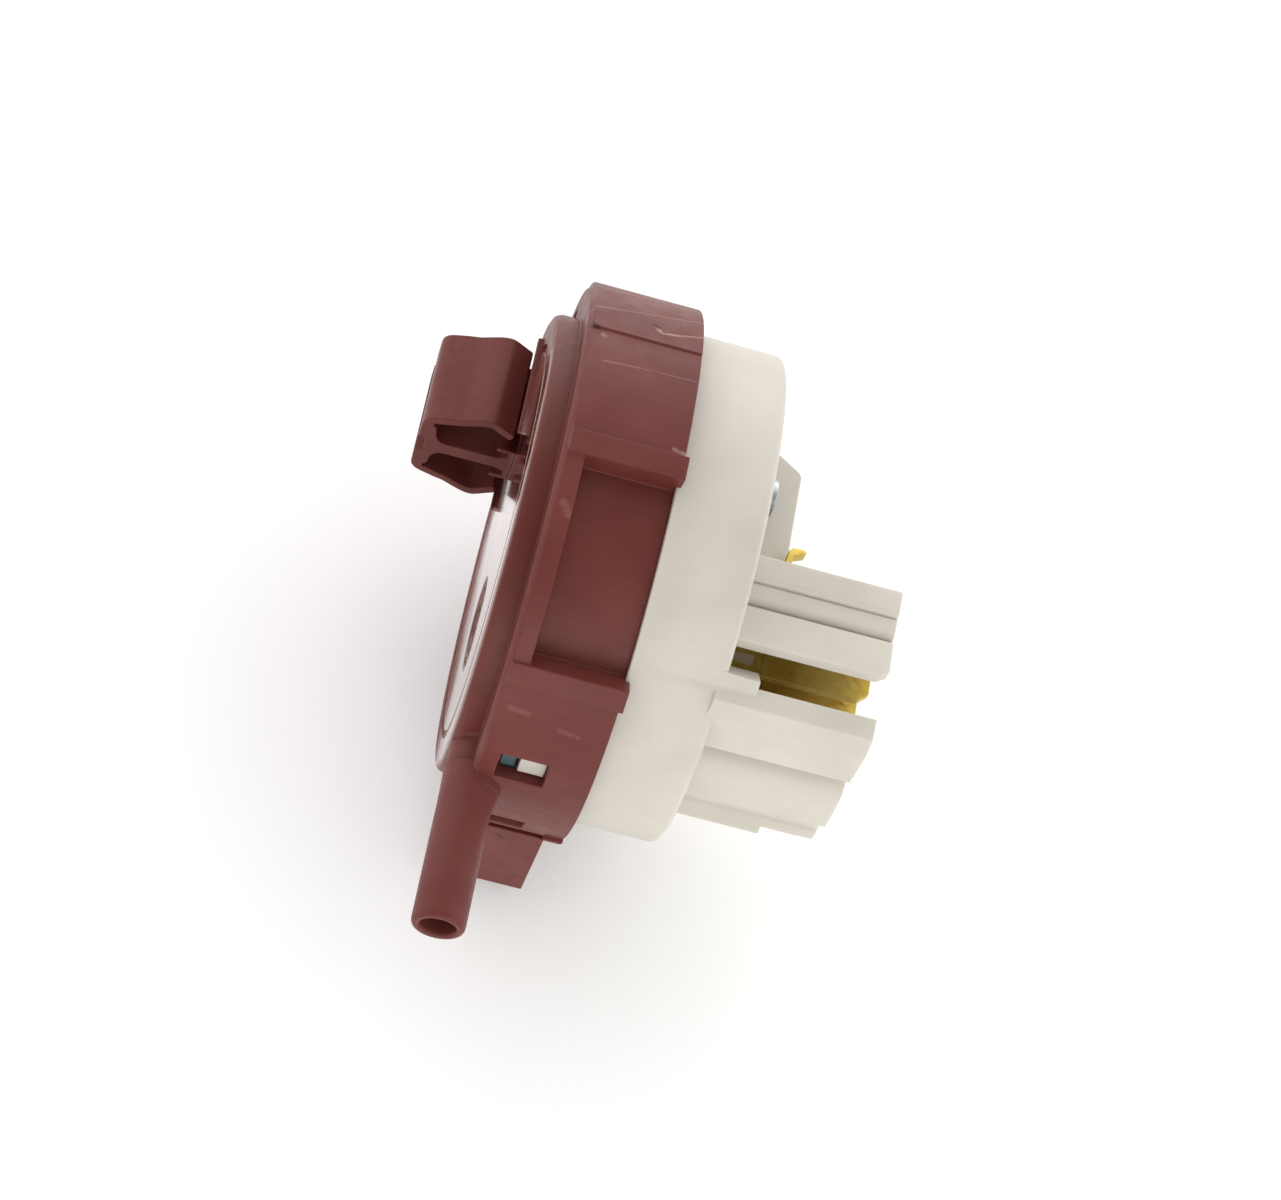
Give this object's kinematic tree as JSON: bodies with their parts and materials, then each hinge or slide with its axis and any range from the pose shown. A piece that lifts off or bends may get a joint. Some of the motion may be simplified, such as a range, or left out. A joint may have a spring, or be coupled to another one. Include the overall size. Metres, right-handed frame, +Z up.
{
  "type": "pressure switch",
  "caption": "Round water-level pressure switch with a hose nipple, a snap-in panel clip and a shrouded blade connector.",
  "frame": {"origin": "centre of the flat front face that lies against the panel", "axes": "+X runs from the front face through the switch to its terminals; -Y is the way the hose nipple points; +Z is up, square to both"},
  "size_m": [0.0491, 0.0718, 0.0566],
  "materials": {
    "maroon_plastic": "moulded red-brown thermoplastic, satin to gloss",
    "ivory_plastic": "moulded ivory thermoplastic, satin",
    "natural_plastic": "natural acetal",
    "teal_rubber": "moulded silicone rubber",
    "brass": "stamped brass strip",
    "spring_bronze": "rolled spring bronze",
    "contact_silver": "silver contact rivet",
    "zinc_steel": "blue zinc-plated steel",
    "spring_steel": "drawn spring wire"
  },
  "bodies": {
    "housing": {"base_shell": "maroon_plastic", "hose_nipple": "maroon_plastic", "upper_housing": "ivory_plastic", "clip_stem": "maroon_plastic", "diaphragm": "teal_rubber", "test_lug": "brass", "common_terminal_1": "brass", "switched_terminal_1": "brass", "fixed_contact_1": "contact_silver", "common_terminal_2": "brass", "switched_terminal_2": "brass", "fixed_contact_2": "contact_silver", "common_terminal_3": "brass", "switched_terminal_3": "brass", "fixed_contact_3": "contact_silver"},
    "plate": {"diaphragm_plate": "natural_plastic", "pusher_1": "natural_plastic", "pusher_2": "natural_plastic", "pusher_3": "natural_plastic", "calibration_spring_1": "spring_steel", "calibration_spring_2": "spring_steel", "calibration_spring_3": "spring_steel"},
    "clip_arm_near": {"clip_arm_near": "maroon_plastic"},
    "clip_arm_far": {"clip_arm_far": "maroon_plastic"},
    "leaf_1": {"contact_leaf_1": "spring_bronze", "moving_contact_1": "contact_silver"},
    "screw_1": {"calibration_screw_1": "zinc_steel"},
    "seat_1": {"spring_seat_1": "zinc_steel"},
    "leaf_2": {"contact_leaf_2": "spring_bronze", "moving_contact_2": "contact_silver"},
    "screw_2": {"calibration_screw_2": "zinc_steel"},
    "seat_2": {"spring_seat_2": "zinc_steel"},
    "leaf_3": {"contact_leaf_3": "spring_bronze", "moving_contact_3": "contact_silver"},
    "screw_3": {"calibration_screw_3": "zinc_steel"},
    "seat_3": {"spring_seat_3": "zinc_steel"}
  },
  "joints": [
    {"name": "plate_stroke", "type": "slide", "parent": "housing", "child": "plate", "axis": [1, 0, 0], "range_m": [0, 0.0012], "stiffness_N_per_m": 300, "deforming": ["diaphragm", "calibration_spring_1", "calibration_spring_2", "calibration_spring_3"]},
    {"name": "leaf_swing_1", "type": "hinge", "parent": "housing", "child": "leaf_1", "pos_m": [0.015, -0.0092, -0.01], "axis": [0, 0, -1], "range_deg": [0, 10]},
    {"name": "leaf_swing_2", "type": "hinge", "parent": "housing", "child": "leaf_2", "pos_m": [0.015, -0.0092, 0], "axis": [0, 0, -1], "range_deg": [0, 10]},
    {"name": "leaf_swing_3", "type": "hinge", "parent": "housing", "child": "leaf_3", "pos_m": [0.015, -0.0092, 0.01], "axis": [0, 0, -1], "range_deg": [0, 10]},
    {"name": "screw_turn_1", "type": "hinge", "parent": "housing", "child": "screw_1", "pos_m": [0.0238, 0.007, 0.0105], "axis": [1, 0, 0], "range_deg": [-721, 721]},
    {"name": "seat_travel_1", "type": "slide", "parent": "housing", "child": "seat_1", "axis": [1, 0, 0], "range_m": [-0.001, 0.001], "deforming": ["calibration_spring_1"]},
    {"name": "screw_turn_2", "type": "hinge", "parent": "housing", "child": "screw_2", "pos_m": [0.0238, 0.007, -0.0105], "axis": [1, 0, 0], "range_deg": [-721, 721]},
    {"name": "seat_travel_2", "type": "slide", "parent": "housing", "child": "seat_2", "axis": [1, 0, 0], "range_m": [-0.001, 0.001], "deforming": ["calibration_spring_2"]},
    {"name": "screw_turn_3", "type": "hinge", "parent": "housing", "child": "screw_3", "pos_m": [0.0238, 0.012, 0], "axis": [1, 0, 0], "range_deg": [-721, 721]},
    {"name": "seat_travel_3", "type": "slide", "parent": "housing", "child": "seat_3", "axis": [1, 0, 0], "range_m": [-0.001, 0.001], "deforming": ["calibration_spring_3"]},
    {"name": "near_arm_flex", "type": "hinge", "parent": "housing", "child": "clip_arm_near", "pos_m": [-0.0091, 0.0147, 0.0048], "axis": [0, 1, 0], "range_deg": [0, 9], "stiffness_Nm_per_rad": 0.02},
    {"name": "far_arm_flex", "type": "hinge", "parent": "housing", "child": "clip_arm_far", "pos_m": [-0.0091, 0.0147, -0.0048], "axis": [0, -1, 0], "range_deg": [0, 9], "stiffness_Nm_per_rad": 0.02}
  ],
  "couplings": [
    {"joint": "leaf_swing_1", "follows": "plate_stroke", "rad_per_m": 142.86},
    {"joint": "leaf_swing_2", "follows": "plate_stroke", "rad_per_m": 142.86},
    {"joint": "leaf_swing_3", "follows": "plate_stroke", "rad_per_m": 142.86},
    {"joint": "screw_turn_1", "follows": "seat_travel_1", "rad_per_m": -12566},
    {"joint": "screw_turn_2", "follows": "seat_travel_2", "rad_per_m": -12566},
    {"joint": "screw_turn_3", "follows": "seat_travel_3", "rad_per_m": -12566}
  ]
}
